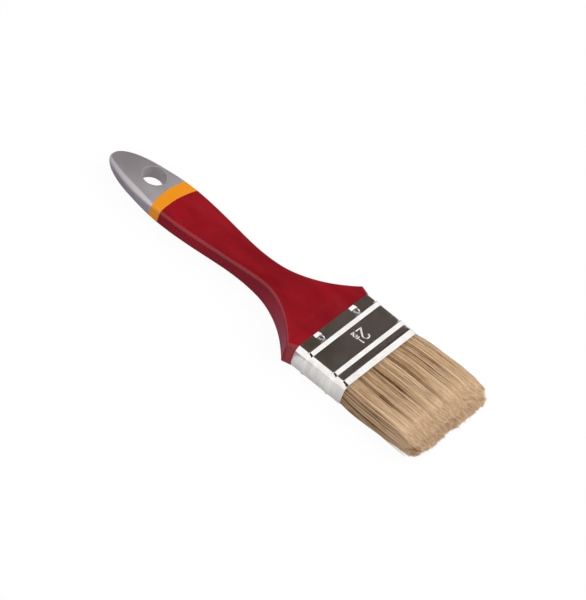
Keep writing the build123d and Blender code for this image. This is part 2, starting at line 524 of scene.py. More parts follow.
@dataclass(frozen=True)
class SetResin(Finish):
    """Amber resin with the cut bristle roots showing as specks."""

    name: str = "set_resin"
    roughness: float = 0.35
    amber: tuple = linear(120, 86, 50)
    root: tuple = linear(176, 140, 98)
    specks: float = 0.05 * MM

    def build(self) -> bpy.types.Material:
        """Builds the material.

        Returns:
            The material.
        """
        material, nodes, shader = self.start()
        coordinates = nodes.place()
        drawn = nodes.stretched(coordinates, (0.1, 1.0, 1.0))
        roots = nodes.ranged(nodes.noise(drawn, scale=2400.0, detail=1.0), 0.45, 0.6)
        nodes.link(nodes.mixed(roots, self.amber, self.root), shader.inputs["Base Color"])
        self.bumped(nodes, shader, roots, self.specks)
        return material


@dataclass(frozen=True)
class Bristle(Finish):
    """Natural bristle: each one's tone runs across its map and its length runs up it."""

    name: str = "natural_bristle"
    roughness: float = 0.42
    specular: float = 0.35
    dark: tuple = linear(88, 50, 18)
    tan: tuple = linear(192, 151, 107)
    pale: tuple = linear(246, 213, 176)
    # painted shade near the root: how far up it reaches and how dark it gets
    root_end: float = 0.12
    root_shade: float = 0.27
    tip_start: float = 0.55
    tip_pale: float = 0.6

    def build(self) -> bpy.types.Material:
        """Builds the material from the bristle map: tone across it and length up it.

        Returns:
            The material.
        """
        material, nodes, shader = self.start()
        bristle_map = nodes.add("ShaderNodeUVMap", uv_map=BRISTLE_MAP)
        place = nodes.add("ShaderNodeSeparateXYZ", {0: bristle_map.outputs[0]})
        tone, along = place.outputs["X"], place.outputs["Y"]
        low = nodes.mixed(nodes.ranged(tone, 0.0, 0.5), self.dark, self.tan)
        colour = nodes.mixed(nodes.ranged(tone, 0.5, 1.0), low, self.pale)
        # painted shade: the colour darkens towards the root, where the ferrule's mouth shades the bristles
        shaded = nodes.mixed(nodes.ranged(along, 0.0, self.root_end, self.root_shade, 0.0), colour, self.dark)
        tipped = nodes.mixed(nodes.ranged(along, self.tip_start, 1.0, 0.0, self.tip_pale), shaded, self.pale)
        nodes.link(tipped, shader.inputs["Base Color"])
        rough = nodes.ranged(along, 0.0, 1.0, self.roughness - 0.05, self.roughness + 0.1)
        nodes.link(rough, shader.inputs["Roughness"])
        return material


@dataclass(frozen=True)
class PackedRoots(Finish):
    """The close-packed bristles deep in the tuft, dark because little light reaches them."""

    name: str = "packed_bristle"
    roughness: float = 0.8
    specular: float = 0.1
    dark: tuple = linear(84, 58, 34)
    light: tuple = linear(150, 114, 74)
    furrow: float = 0.3 * MM

    def build(self) -> bpy.types.Material:
        """Builds the material from noise drawn out along the bristles.

        Returns:
            The material.
        """
        material, nodes, shader = self.start()
        coordinates = nodes.place()
        drawn = nodes.stretched(coordinates, (0.03, 1.0, 1.0))
        strands = nodes.ranged(nodes.noise(drawn, scale=2600.0), 0.3, 0.7)
        nodes.link(nodes.mixed(strands, self.dark, self.light), shader.inputs["Base Color"])
        self.bumped(nodes, shader, strands, self.furrow)
        return material


# ---------------------------------------------------------------- wood and hidden pieces


def dress_node(name: str, material: bpy.types.Material) -> None:
    """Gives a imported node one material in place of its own.

    Args:
        name: the node.
        material: its finish.
    """
    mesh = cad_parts[name].data
    mesh.materials.clear()
    mesh.materials.append(material)
    LOG.info("%s: packed node, finish %s", name, material.name)


@dataclass
class WoodParts:
    """The handle and the pieces inside the ferrule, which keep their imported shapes."""

    ring_start_from_end: float = 38.65 * MM
    ring_width: float = 7.65 * MM
    nails: tuple = ("nail_top_right", "nail_top_left", "nail_under_left", "nail_under_right")

    def build(self, effects: SharedEffects) -> None:
        """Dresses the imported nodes.

        Args:
            effects: the shared node groups.
        """
        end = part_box("handle")[0].x
        start = end + self.ring_start_from_end
        lacquer = DippedLacquer(ring_start=start, ring_end=start + self.ring_width)
        dress_node("handle", lacquer.build(effects))
        dress_node("spacer_plug", RawWood().build(effects))
        dress_node("bristle_heel", SetResin().build())
        steel = NailSteel().build(effects)
        for nail in self.nails:
            dress_node(nail, steel)


# ---------------------------------------------------------------- ferrule


@dataclass
class SizeFigure:
    """The nominal size, two and a half with an upright fraction, pressed up out of the tin in round
    strokes."""

    middle_x: float
    middle_y: float
    tall: float = 7.3 * MM
    wide: float = 3.9 * MM
    stroke: float = 0.52 * MM
    height: float = 0.26 * MM
    small_tall: float = 3.0 * MM
    small_wide: float = 1.9 * MM
    fraction_middle: float = 2.3 * MM
    fraction_rise: float = 1.1 * MM
    fraction_drop: float = 0.3 * MM

    def two(self, left: float, foot: float, tall: float, wide: float) -> np.ndarray:
        """The strokes of a 2: most of a circle on top, a slope down to the left and a level foot.

        Args:
            left: left end of the foot.
            foot: height of the foot.
            tall: height of the figure.
            wide: width of the figure.

        Returns:
            Segments, as rows of (x1, y1, x2, y2).
        """
        radius = wide / 2
        turn = np.radians(np.linspace(165.0, -40.0, 14))
        middle_x, middle_y = left + radius, foot + tall - radius
        bowl = np.stack([middle_x + radius * np.cos(turn), middle_y + radius * np.sin(turn)], axis=1)
        line = np.concatenate([bowl, [[left, foot]], [[left + wide, foot]]])
        return np.concatenate([line[:-1], line[1:]], axis=1)

    def strokes(self) -> np.ndarray:
        """All the segments, with reading direction along the first axis and up along the second.

        Returns:
            Rows of (x1, y1, x2, y2), about the figure's middle.
        """
        middle, half = self.fraction_middle, self.small_wide / 2
        whole = self.two(-self.wide * 1.15, -self.tall / 2, self.tall, self.wide)
        foot = -self.tall / 2 - self.fraction_drop
        lower = self.two(middle - half, foot, self.small_tall, self.small_wide)
        bar = np.array([[middle - half, 0.0, middle + half, 0.0]])
        one = np.array([[middle, self.fraction_rise, middle, self.fraction_rise + self.small_tall]])
        return np.concatenate([whole, lower, bar, one])

    def rise(self, x: np.ndarray, y: np.ndarray) -> np.ndarray:
        """Height of the figure above the sheet: a rounded ridge over the distance to its nearest stroke.

        Args:
            x: places along the brush.
            y: places across it.

        Returns:
            Heights of the same shape.
        """
        across = -(y - self.middle_y)[..., None]
        up = (x - self.middle_x)[..., None]
        start_x, start_y, end_x, end_y = self.strokes().T
        run_x, run_y = end_x - start_x, end_y - start_y
        share = ((across - start_x) * run_x + (up - start_y) * run_y) / (run_x**2 + run_y**2)
        share = np.clip(share, 0.0, 1.0)
        away = np.hypot(across - start_x - share * run_x, up - start_y - share * run_y).min(axis=-1)
        return self.height * ease(1.0 - away / self.stroke)


@dataclass
class TinFerrule:
    """The tin sleeve: a rounded oblong carried along the brush, with ridges, a curled lip and dents."""

    sheet: float = 0.4 * MM
    corner: float = 3.0 * MM
    bulge: float = 1.0 * MM
    crown: float = 0.2 * MM
    ridge_height: float = 1.0 * MM
    ridge_rise: float = 1.0 * MM
    ridge_crest: float = 0.4 * MM
    ridge_fall: float = 2.1 * MM
    ridge_starts: tuple = (6.1 * MM, 23.2 * MM)
    lip_start: float = 30.0 * MM
    lip_rise: float = 1.2 * MM
    lip_height: float = 0.55 * MM
    lip_curl: float = 0.3 * MM
    softening: float = 0.09 * MM
    side_share: float = 0.35
    ridge_end: float = 0.08
    fade_start: float = 0.42
    fade_run: float = 0.38
    rim_out: float = 0.12 * MM
    rear_out: float = 0.04 * MM
    trough_side: float = 0.45 * MM
    coarse_round: float = 1.6 * MM
    coarse_along: float = 0.9 * MM
    close: float = 0.22 * MM
    closest: float = 0.2 * MM
    ridge_lead: float = 0.5 * MM
    ridge_span: float = 4.0 * MM
    nail_span: float = 6.4 * MM
    nail_half_wide: float = 2.6 * MM
    figure_half_tall: float = 5.4 * MM
    figure_half_wide: float = 7.5 * MM
    figure_reach: float = 8.0 * MM
    dent_depth: float = 0.45 * MM
    dent_floor: float = 1.5 * MM
    dent_radius: float = 2.0 * MM
    dent_half_width: float = 2.4 * MM
    figure_from_mouth: float = 18.2 * MM
    figure_offset: float = 3.2 * MM

    def __post_init__(self) -> None:
        """Takes the sleeve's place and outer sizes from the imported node, less its ridges."""
        low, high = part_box("ferrule")
        self.rear, self.mouth = low.x, high.x
        self.middle_z = (low.z + high.z) / 2
        self.half_width = (high.y - low.y) / 2 - self.ridge_height * self.side_share
        self.half_thick = (high.z - low.z) / 2 - self.ridge_height
        self.nail_spots = [sum(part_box(name), Vector()) / 2 for name in ("nail_top_right", "nail_top_left")]
        self.figure = SizeFigure(self.mouth - self.figure_from_mouth, self.figure_offset)

    def profile(self, x: np.ndarray) -> np.ndarray:
        """How far the tin stands out at x: straight-sided ridges and lip, averaged over a small distance.

        Args:
            x: places along the brush.

        Returns:
            Offsets from the plain sleeve.
        """
        knots, heights = [self.rear], [0.0]
        for start in self.ridge_starts:
            crest = start + self.ridge_rise
            fall = crest + self.ridge_crest
            knots += [self.rear + place for place in (start, crest, fall, fall + self.ridge_fall)]
            heights += [0.0, self.ridge_height, self.ridge_height, 0.0]
        knots += [self.rear + self.lip_start, self.rear + self.lip_start + self.lip_rise, self.mouth]
        heights += [0.0, self.lip_height, -self.lip_curl]
        shifts = np.linspace(-1.0, 1.0, 9) * self.softening
        return np.mean([np.interp(x + shift, knots, heights) for shift in shifts], axis=0)

    def dents(self, x: np.ndarray, y: np.ndarray) -> np.ndarray:
        """How far the nails have pulled the sheet down: a flat-floored round dent at each, with a trough
        that deepens evenly towards it from the rear edge.

        Args:
            x: places along the brush.
            y: places across it.

        Returns:
            Depths of the same shape.
        """
        total = np.zeros(np.broadcast(x, y).shape)
        for spot in self.nail_spots:
            away = np.hypot(x - spot.x, y - spot.y)
            round_it = ease((self.dent_radius - away) / (self.dent_radius - self.dent_floor))
            sides = ease((self.dent_half_width - np.abs(y - spot.y)) / self.trough_side)
            run = spot.x - self.dent_floor - self.rear
            behind = sides * np.clip((x - self.rear) / run, 0.0, 1.0) * (x < self.rear + run)
            total = np.maximum(total, np.maximum(round_it, behind))
        return self.dent_depth * total

    def outline(self) -> tuple[np.ndarray, np.ndarray, np.ndarray, np.ndarray, np.ndarray]:
        """The oblong cross-section before any offset, closer together where the sheet has detail.

        Returns:
            y, z, the outward y and z, and a mark that is 1 on the upper face, -1 on the lower one, else 0.
        """
        straight_y = self.half_width - self.bulge - self.corner
        straight_z = self.half_thick - self.crown - self.corner
        nail, middle, half = self.nail_half_wide, self.figure_offset, self.figure_half_wide
        zones = [(spot.y - nail, spot.y + nail, self.close) for spot in self.nail_spots]
        lettered = (middle - half, middle + half, self.closest)
        over = fine_steps(-straight_y, straight_y, self.coarse_round, [*zones, lettered])[::-1]
        under = fine_steps(-straight_y, straight_y, self.coarse_round, zones)
        side = np.linspace(1.0, -1.0, 10)[1:-1] * straight_z
        bend = np.linspace(0.0, math.pi / 2, 9)
        top_z = straight_z + self.corner
        side_y = straight_y + self.corner
        rows = [
            np.broadcast_arrays(over, top_z, 0.0, 1.0),
            self.bent(bend + math.pi / 2, -straight_y, straight_z),
            np.broadcast_arrays(-side_y, side, -1.0, 0.0),
            self.bent(bend + math.pi, -straight_y, -straight_z),
            np.broadcast_arrays(under, -top_z, 0.0, -1.0),
            self.bent(bend - math.pi / 2, straight_y, -straight_z),
            np.broadcast_arrays(side_y, -side, 1.0, 0.0),
            self.bent(bend, straight_y, straight_z),
        ]
        y, z, out_y, out_z = (np.concatenate(part) for part in zip(*rows))
        face = np.repeat((1, 0, 0, 0, -1, 0, 0, 0), [len(row[0]) for row in rows])
        keep = np.hypot(y - np.roll(y, 1), z - np.roll(z, 1)) > 1e-6
        y = y + out_y * self.bulge * (1 - np.square(z / top_z))
        z = z + out_z * self.crown * (1 - np.square(y / self.half_width))
        return y[keep], z[keep], out_y[keep], out_z[keep], face[keep]

    def bent(self, turn: np.ndarray, middle_y: float, middle_z: float) -> tuple[np.ndarray, ...]:
        """The y, z, outward y and outward z of a corner about its middle, at angles turned from +Y."""
        out_y, out_z = np.cos(turn), np.sin(turn)
        return middle_y + self.corner * out_y, middle_z + self.corner * out_z, out_y, out_z

    def wall(self, x: np.ndarray, inset: float, detailed: bool) -> np.ndarray:
        """The sleeve's surface: the outline moved outwards by the profile, less an inset. The ridges fade
        towards the narrow sides, by an ease of how far the outline faces sideways.

        Args:
            x: places along the brush.
            inset: how far inside the outer face.
            detailed: whether the size figure and the dents are pressed in.

        Returns:
            Points by (place along, place round, xyz).
        """
        y, z, out_y, out_z, face = self.outline()
        share = 1.0 - (1.0 - self.ridge_end) * ease((np.abs(out_y) - self.fade_start) / self.fade_run)
        stand = self.profile(x)[:, None]
        lift = np.maximum(stand, 0.0) * share + np.minimum(stand, 0.0)
        if detailed:
            grid_x, grid_y = np.broadcast_arrays(x[:, None], y[None, :])
            lift = lift - self.dents(grid_x, grid_y) * np.abs(face)
            near = np.abs(y - self.figure_offset) < self.figure_reach
            pressed = np.zeros_like(lift)
            pressed[:, near] = self.figure.rise(grid_x[:, near], grid_y[:, near])
            lift = lift + pressed * (face > 0)
        lift = lift - inset
        points_y = y + out_y * lift
        points_z = z + out_z * lift + self.middle_z
        return np.stack([np.broadcast_to(x[:, None], lift.shape), points_y, points_z], axis=-1)

    def build(self, effects: SharedEffects) -> bpy.types.Object:
        """Builds the sleeve as one closed shell: outer wall, rolled rim, inner wall and rear rim.

        Args:
            effects: the shared node groups.

        Returns:
            The ferrule.
        """
        rear, mouth, figure_x = self.rear, self.mouth, self.figure.middle_x
        lead, span = self.ridge_lead, self.ridge_span
        zones = [(rear + start - lead, rear + start + span, self.closest) for start in self.ridge_starts]
        zones.append((rear + self.lip_start - lead, mouth, self.close))
        zones.append((figure_x - self.figure_half_tall, figure_x + self.figure_half_tall, self.closest))
        zones.append((rear, rear + self.nail_span, self.close))
        outer = self.wall(fine_steps(rear, mouth, self.coarse_along, zones), 0.0, True)
        inner = self.wall(fine_steps(rear, mouth, self.coarse_along, [])[::-1], self.sheet, False)
        middle = self.wall(np.array([mouth + self.rim_out, rear - self.rear_out]), self.sheet / 2, False)
        rows = np.concatenate([outer, middle[:1], inner, middle[1:]])
        faces = grid_faces(rows.shape[0], rows.shape[1], True)
        sleeve = mesh_object("ferrule_sleeve", rows.reshape(-1, 3), [faces])
        sleeve.data.materials.append(RolledTin().build(effects))
        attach(sleeve, Body.GRIP.value)
        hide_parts("ferrule")
        LOG.info("%s: %d faces", sleeve.name, len(sleeve.data.polygons))
        return sleeve


# ---------------------------------------------------------------- bristles


@dataclass
class TuftShape:
    """The tuft's outer form: a rounded oblong section that spreads a little, then falls above near its end
    and is drawn in evenly below."""

    root_width: float = 31.0 * MM
    root_thick: float = 7.15 * MM
    corner: float = 2.6 * MM
    bulge: float = 0.8 * MM
    length: float = 52.0 * MM
    spread: float = 1.9 * MM
    upper_swell: float = 1.1 * MM
    lower_swell: float = 0.9 * MM
    spread_by: float = 7.0 * MM
    fall_at: float = 35.0 * MM
    upper_fall: float = 3.2 * MM
    lower_draw: float = 5.5 * MM
    bend_over: float = 26.0 * MM

    def __post_init__(self) -> None:
        """Takes the mouth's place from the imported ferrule, and samples the section once."""
        low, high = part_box("ferrule")
        self.mouth = high.x
        self.middle_z = (low.z + high.z) / 2
        flat_z, side_y = self.root_thick - self.corner, self.root_width - self.bulge
        side_z = np.linspace(0.0, flat_z, 16)
        turn = np.linspace(0.0, math.pi / 2, 24)[1:]
        top_y = np.linspace(side_y - self.corner, 0.0, 8)[1:]
        top_z = np.full_like(top_y, self.root_thick)
        y = np.concatenate([self.root_width - self.bulge * np.square(side_z / flat_z),
                            side_y - self.corner + self.corner * np.cos(turn), top_y])
        z = np.concatenate([side_z, flat_z + self.corner * np.sin(turn), top_z])
        y, z = np.concatenate([y, -y[-2::-1]]), np.concatenate([z, z[-2::-1]])
        y, z = np.concatenate([y, y[-2::-1]]), np.concatenate([z, -z[-2::-1]])
        self.section_y, self.section_z = y / self.root_width, z / self.root_thick
        self.round = np.concatenate([[0.0], np.cumsum(np.hypot(np.diff(y), np.diff(z)))])

    def girth(self) -> float:
        """The distance round the root section."""
        return float(self.round[-1])

    def boundary(self, distance: np.ndarray) -> tuple[np.ndarray, np.ndarray]:
        """Unit-sized y and z, from -1 to 1, of the section's edge at distances round from its +Y side."""
        held = np.mod(distance, self.girth())
        return np.interp(held, self.round, self.section_y), np.interp(held, self.round, self.section_z)

    def levelled(self, out: np.ndarray, reach: float) -> np.ndarray:
        """A share that rises from 0 and levels off at 1: 1 less e to the minus (out / reach)."""
        return 1.0 - np.exp(-out / reach)

    def half_width(self, out: np.ndarray) -> np.ndarray:
        """Half-width at a distance out of the mouth: the root's, plus a spread that levels off."""
        return self.root_width + self.spread * self.levelled(out, self.spread_by)

    def half_thick(self, out: np.ndarray, upper: np.ndarray) -> np.ndarray:
        """Thickness above or below the middle plane at a distance out of the mouth.

        Args:
            out: distances out of the mouth.
            upper: true where the place is above the middle plane.

        Returns:
            The root's thickness and a swell that levels off, less the fall above, which grows as the power
            1.5 of the share of the way from its start to the tips, or less an even draw below.
        """
        past = np.clip((out - self.fall_at) / (self.length - self.fall_at), 0.0, None)
        above = self.upper_swell * self.levelled(out, self.spread_by) - self.upper_fall * past**1.5
        swell = self.lower_swell * self.levelled(out, self.spread_by / 2)
        below = swell - self.lower_draw * out / self.length
        return self.root_thick + np.where(upper, above, below)

    def join(self, piece: bpy.types.Object) -> None:
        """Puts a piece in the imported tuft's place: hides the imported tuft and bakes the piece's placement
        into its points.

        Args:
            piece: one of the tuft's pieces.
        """
        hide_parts("bristle_tuft")
        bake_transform(piece)


@dataclass
class Locks:
    """Neighbouring bristles that share a lean, a tone and a length, on the tuft's girth."""

    girth: float
    count: int
    seed: int
    lean: float
    tone: float
    reach: float

    def __post_init__(self) -> None:
        """Draws the locks' ends and what each lock's bristles share."""
        rng = np.random.default_rng(self.seed)
        self.ends = np.sort(rng.random(self.count)) * self.girth
        self.leans = rng.normal(0.0, self.lean, self.count)
        self.tones = rng.normal(0.0, self.tone, self.count)
        self.reaches = rng.normal(0.0, self.reach, self.count)

    def shared(self, distance: np.ndarray) -> tuple[np.ndarray, np.ndarray, np.ndarray]:
        """What the bristles at some distances round the girth share; returns leans, tones and lengths."""
        own = np.searchsorted(self.ends, np.mod(distance, self.girth)) % self.count
        return self.leans[own], self.tones[own], self.reaches[own]


@dataclass
class Slits:
    """Thin partings between bristles, darkened by painted shadow: each is a bell along the tuft times a bell
    across it.
    """

    girth: float
    count: int = 230
    seed: int = 78
    outs_mm: tuple = (3.0, 42.0)
    lengths_mm: tuple = (1.5, 4.2)
    widths_mm: tuple = (0.04, 0.13)
    slope: float = 0.02
    parting: float = 0.42 * MM
    shadow: float = 0.12 * MM

    def __post_init__(self) -> None:
        """Draws each slit's place, length and width."""
        rng = np.random.default_rng(self.seed)
        self.at = rng.random(self.count) * self.girth
        self.out = rng.uniform(*self.outs_mm, self.count) * MM
        self.long = rng.uniform(*self.lengths_mm, self.count) * MM
        self.wide = rng.uniform(*self.widths_mm, self.count) * MM
        self.slant = rng.normal(0.0, self.slope, self.count)

    def pushed(self, distance: np.ndarray, out: np.ndarray) -> tuple[np.ndarray, np.ndarray, np.ndarray]:
        """Works out how the slits move the bristles and paint shadow on them.

        Args:
            distance: each bristle's distance round the girth.
            out: distances out of the mouth, by (bristle, ring).

        Returns:
            The push round the girth, the sinking below the surface and the painted shadow, by (bristle,
            ring).
        """
        push, sink, shade = np.zeros_like(out), np.zeros_like(out), np.zeros_like(out)
        for ring in range(out.shape[1]):
            away = out[:, ring:ring + 1] - self.out
            gap = distance[:, None] - self.at - self.slant * away
            gap = np.mod(gap + self.girth / 2, self.girth) - self.girth / 2
            along = bump(away, self.long)
            across = bump(gap, self.parting) * along * self.wide
            push[:, ring] = (np.sign(gap) * across).sum(axis=1)
            sink[:, ring] = across.sum(axis=1)
            shade[:, ring] = (bump(gap, self.shadow) * np.square(along)).max(axis=1)
        return push, sink, shade


@dataclass
class BristleGroup:
    """A few thousand bristles that fill one shell of the tuft."""

    name: str
    face: Face
    shape: TuftShape
    count: int
    seed: int
    deepest: float
    rings: int = 12
    thick: float = 0.18 * MM
    chisel: float = 12.0 * MM
    chisel_deep: float = 2.2 * MM
    corner_cut: float = 7.5 * MM
    corner_from: float = 0.86
    longer_by: float = 1.2 * MM
    shorter_by: float = 0.9 * MM
    near_share: float = 0.6
    edge_overlap: float = 1.35
    rooted: float = 2.0 * MM
    slope: float = 0.012
    wave_mm: tuple = (7, 14)
    waver_mm: tuple = (0.02, 0.1)
    waver_from: float = 8.0 * MM
    stray_share: float = 0.01
    stray_rise_mm: tuple = (0.2, 0.9)
    stray_aside: float = 1.2 * MM
    edge_from: float = 0.93
    edge_run: float = 0.07
    edge_uneven: float = 0.6
    middle_tone: float = 0.54
    own_tone: float = 0.4
    # painted shade: how much darker the bristles on the near narrow side are made
    near_side_painted_shade: float = 0.18
    stray_tone: float = 0.25
    slit_shade: float = 0.9
    tone_limits: tuple = (0.03, 0.97)
    sizes: tuple = (0.7, 1.3)
    taper: float = 0.3
    taper_from: float = 0.6
    strip: float = 0.0025
    strip_ends: tuple = (0.004, 0.99)

    def starts(self, rng: np.random.Generator) -> tuple[np.ndarray, np.ndarray]:
        """Picks each bristle's distance round the section and its depth below the surface.

        Args:
            rng: the group's own random numbers.

        Returns:
            Distances round, and depths.
        """
        girth = self.shape.girth()
        quarter = girth / 4
        half_face = quarter * self.shape.root_width / (self.shape.root_width + self.shape.root_thick)
        half_edge = quarter - half_face
        drawn = rng.random(self.count)
        if self.face is Face.UPPER:
            distance = quarter + (2 * drawn - 1) * half_face
        elif self.face is Face.UNDER:
            distance = 3 * quarter + (2 * drawn - 1) * half_face
        elif self.face is Face.EDGES:
            side = np.where(rng.random(self.count) < self.near_share, girth / 2, 0.0)
            distance = side + (2 * drawn - 1) * half_edge * self.edge_overlap
        else:
            distance = drawn * girth
        power = 0.8 if self.face is Face.INNER else 1.6
        depth = self.deepest * rng.random(self.count) ** power
        return distance, depth

    def reaches(self, rng: np.random.Generator, distance: np.ndarray, depth: np.ndarray,
                shared: np.ndarray) -> np.ndarray:
        """How far out of the mouth each bristle ends: those nearest the wide faces are cut shortest.

        The cut is the chisel's length times 1 less the power 2/3 of the share of its depth, half below,
        and the narrow sides' ends are rounded off by the square of the share past a place near the edge.

        Args:
            rng: the group's own random numbers.
            distance: each bristle's distance round the girth.
            depth: its depth below the surface.
            shared: what its locks add.

        Returns:
            The distances.
        """
        shape = self.shape
        unit_y, unit_z = shape.boundary(distance)
        below = shape.root_thick - np.abs(unit_z) * np.clip(shape.root_thick - depth, 0.0, None)
        cut = self.chisel * (1.0 - np.clip(below / self.chisel_deep, 0.0, 1.0) ** (2 / 3))
        longer = rng.uniform(0, self.longer_by, self.count)
        ragged = longer - np.abs(rng.normal(0.0, self.shorter_by, self.count))
        rounded = np.clip((np.abs(unit_y) - self.corner_from) / (1 - self.corner_from), 0.0, 1.0)
        corners = self.corner_cut * np.square(rounded)
        return shape.length - cut * np.where(unit_z > 0, 1.0, 0.5) - corners + ragged + shared

    def paths(self, rng: np.random.Generator) -> tuple[np.ndarray, np.ndarray, np.ndarray]:
        """Works out each bristle's centre line and tone.

        A bristle keeps its place in the section as it runs out. To that are added its locks' common
        lean, a slow sine waver, its own small slant, and a push away from the slits that it passes.

        Args:
            rng: the group's own random numbers.

        Returns:
            Points by (bristle, ring, xyz), tones from 0 to 1 by (bristle, ring), and shares along the rings.
        """
        shape, count = self.shape, self.count
        distance, depth = self.starts(rng)
        girth = shape.girth()
        broad = Locks(girth, count=60, seed=77, lean=0.14 * MM, tone=0.03, reach=0.4 * MM)
        narrow = Locks(girth, count=340, seed=79, lean=0.1 * MM, tone=0.11, reach=0.45 * MM)
        lean, tone, longer = np.add(broad.shared(distance), narrow.shared(distance))

        reach = self.reaches(rng, distance, depth, longer)
        share = np.linspace(0.0, 1.0, self.rings)
        out = -self.rooted + (reach[:, None] + self.rooted) * share[None, :]
        away = np.clip(out, 0.0, None)
        slant = rng.normal(0, self.slope, count)[:, None] * away
        wave = rng.uniform(*self.wave_mm, count)[:, None] * MM
        turns = away / wave + rng.uniform(0, 6.28, count)[:, None]
        high = rng.uniform(*self.waver_mm, count)[:, None] * MM
        waver = high * np.sin(turns) * ease(away / self.waver_from)
        push, sink, shade = Slits(girth).pushed(distance, out)
        unit_y, unit_z = shape.boundary(distance[:, None] + lean[:, None] * ease(away / shape.length)
                                        + slant + waver + push)
        width = shape.half_width(away)
        thick = shape.half_thick(away, unit_z > 0)
        deep = (depth[:, None] + sink + np.abs(waver) * 0.4) * np.minimum(thick / shape.root_thick, 1.0)
        y = unit_y * (width - deep)
        z = unit_z * np.maximum(thick - deep, 0.0)

        stray = rng.random(count) < self.stray_share
        loose = stray[:, None] * ease(away / shape.length)
        z = z + np.sign(unit_z) * loose * rng.uniform(*self.stray_rise_mm, count)[:, None] * MM
        y = y + loose * rng.normal(0, self.stray_aside, count)[:, None]
        points = np.stack([shape.mouth + out, y, shape.middle_z + z], axis=-1)
        near_edge = np.clip(-unit_y[:, 0] - self.edge_from, 0.0, self.edge_run) / self.edge_run
        uneven = tone * (1.0 + self.edge_uneven * near_edge)
        tone = self.middle_tone + uneven + rng.normal(0, self.own_tone, count)
        # painted shade: the bristles on the near narrow side are darkened; strays are made paler
        tone = tone - self.near_side_painted_shade * near_edge + self.stray_tone * stray
        # painted shadow: bristles darken where they pass a slit
        return points, np.clip(tone[:, None] - self.slit_shade * shade, *self.tone_limits), share

    def build(self, material: bpy.types.Material) -> bpy.types.Object:
        """Builds the group: three-sided tapered tubes along the centre lines, closed at both ends.

        Args:
            material: the bristles' finish.

        Returns:
            The piece.
        """
        rng = np.random.default_rng(self.seed)
        points, tone, share = self.paths(rng)
        count, rings = points.shape[:2]
        narrowed = 1.0 - self.taper * ease((share - self.taper_from) / (1 - self.taper_from))
        size = self.thick * rng.uniform(*self.sizes, count)[:, None] * narrowed[None, :]
        corner = np.arange(3)
        spin = rng.uniform(0, 2 * math.pi, count)[:, None, None] + corner * (2 * math.pi / 3)
        ring_y = points[:, :, 1:2] + size[:, :, None] * np.cos(spin)
        ring_z = points[:, :, 2:3] + size[:, :, None] * np.sin(spin)
        rows = np.broadcast_arrays(points[:, :, 0:1], ring_y, ring_z)
        vertices = np.stack(rows, axis=-1).reshape(-1, 3)
        step = np.arange(rings - 1)[:, None] * 3
        after = (corner + 1) % 3
        quads = np.stack([step + corner, step + after, step + 3 + after, step + 3 + corner], axis=-1)
        quads = quads.reshape(-1, 4)
        last = (rings - 1) * 3
        caps = np.array([[2, 1, 0], [last, last + 1, last + 2]])
        each = np.arange(count)[:, None, None] * (rings * 3)
        faces = [(each + quads).reshape(-1, 4), (each + caps).reshape(-1, 3)]
        piece = mesh_object(self.name, vertices, faces)
        self.add_map(piece, tone, share)
        piece.data.materials.append(material)
        self.shape.join(piece)
        LOG.info("%s: %d bristles, %d faces", piece.name, count, len(piece.data.polygons))
        return piece

    def add_map(self, piece: bpy.types.Object, tone: np.ndarray, share: np.ndarray) -> None:
        """Writes the (tone, length) map: a bristle is a thin upright strip at its own tone.

        Args:
            piece: the group's object.
            tone: tones by (bristle, ring).
            share: how far along each ring is.
        """
        across = tone[:, :, None] + np.array([-1.0, 0.0, 1.0]) * self.strip
        up = np.clip(share, *self.strip_ends)[None, :, None] + np.array([0.0, 1.0, 0.0]) * self.strip
        across, up = np.broadcast_arrays(across, up)
        by_vertex = np.stack([across, up], axis=-1).reshape(-1, 2)
        corners = np.zeros(len(piece.data.loops), dtype=np.int32)
        piece.data.loops.foreach_get("vertex_index", corners)
        layer = piece.data.uv_layers.new(name=BRISTLE_MAP)
        layer.data.foreach_set("uv", by_vertex[corners].astype(np.float32).ravel())


@dataclass
class TuftCore:
    """The close-packed middle of the tuft, seen only as darkness between the bristles."""

    shape: TuftShape
    inset: float = 2.0 * MM
    short: float = 12.0 * MM
    rooted: float = 1.5 * MM
    thinnest: float = 0.25 * MM
    flute_depth: float = 0.12 * MM
    flute_width: float = 0.9 * MM
    rings: int = 26
    sides: int = 96

    def build(self) -> bpy.types.Object:
        """Builds the core: the tuft's own section, shrunk by an inset, with a fluted surface.

        Returns:
            The piece.
        """
        shape = self.shape
        out = np.linspace(-self.rooted, shape.length - self.short, self.rings)[:, None]
        around = np.arange(self.sides)[None, :] * shape.girth() / self.sides
        unit_y, unit_z = shape.boundary(around)
        away = np.clip(out, 0.0, None)
        flute = self.flute_depth * np.sin(around / self.flute_width)
        y = unit_y * (shape.half_width(away) - self.inset + flute)
        z = unit_z * np.maximum(shape.half_thick(away, unit_z > 0) - self.inset + flute, self.thinnest)
        x = np.broadcast_to(shape.mouth + out, y.shape)
        rows = np.stack([x, y, z + shape.middle_z], axis=-1)
        ends = [np.broadcast_to([x[row, 0], 0.0, shape.middle_z], rows[:1].shape) for row in (0, -1)]
        closed = np.concatenate([ends[0], rows, ends[1]])
        faces = grid_faces(closed.shape[0], closed.shape[1], False)[:, ::-1]
        core = mesh_object("bristle_core", closed.reshape(-1, 3), [faces])
        self.merge_poles(core)
        core.data.materials.append(PackedRoots().build())
        shape.join(core)
        LOG.info("%s: %d faces", core.name, len(core.data.polygons))
        return core

    def merge_poles(self, core: bpy.types.Object) -> None:
        """Merges each end's doubled points into one pole.

        Args:
            core: the core's object.
        """
        work = bmesh.new()
        work.from_mesh(core.data)
        bmesh.ops.remove_doubles(work, verts=work.verts, dist=1e-6)
        work.to_mesh(core.data)
        work.free()


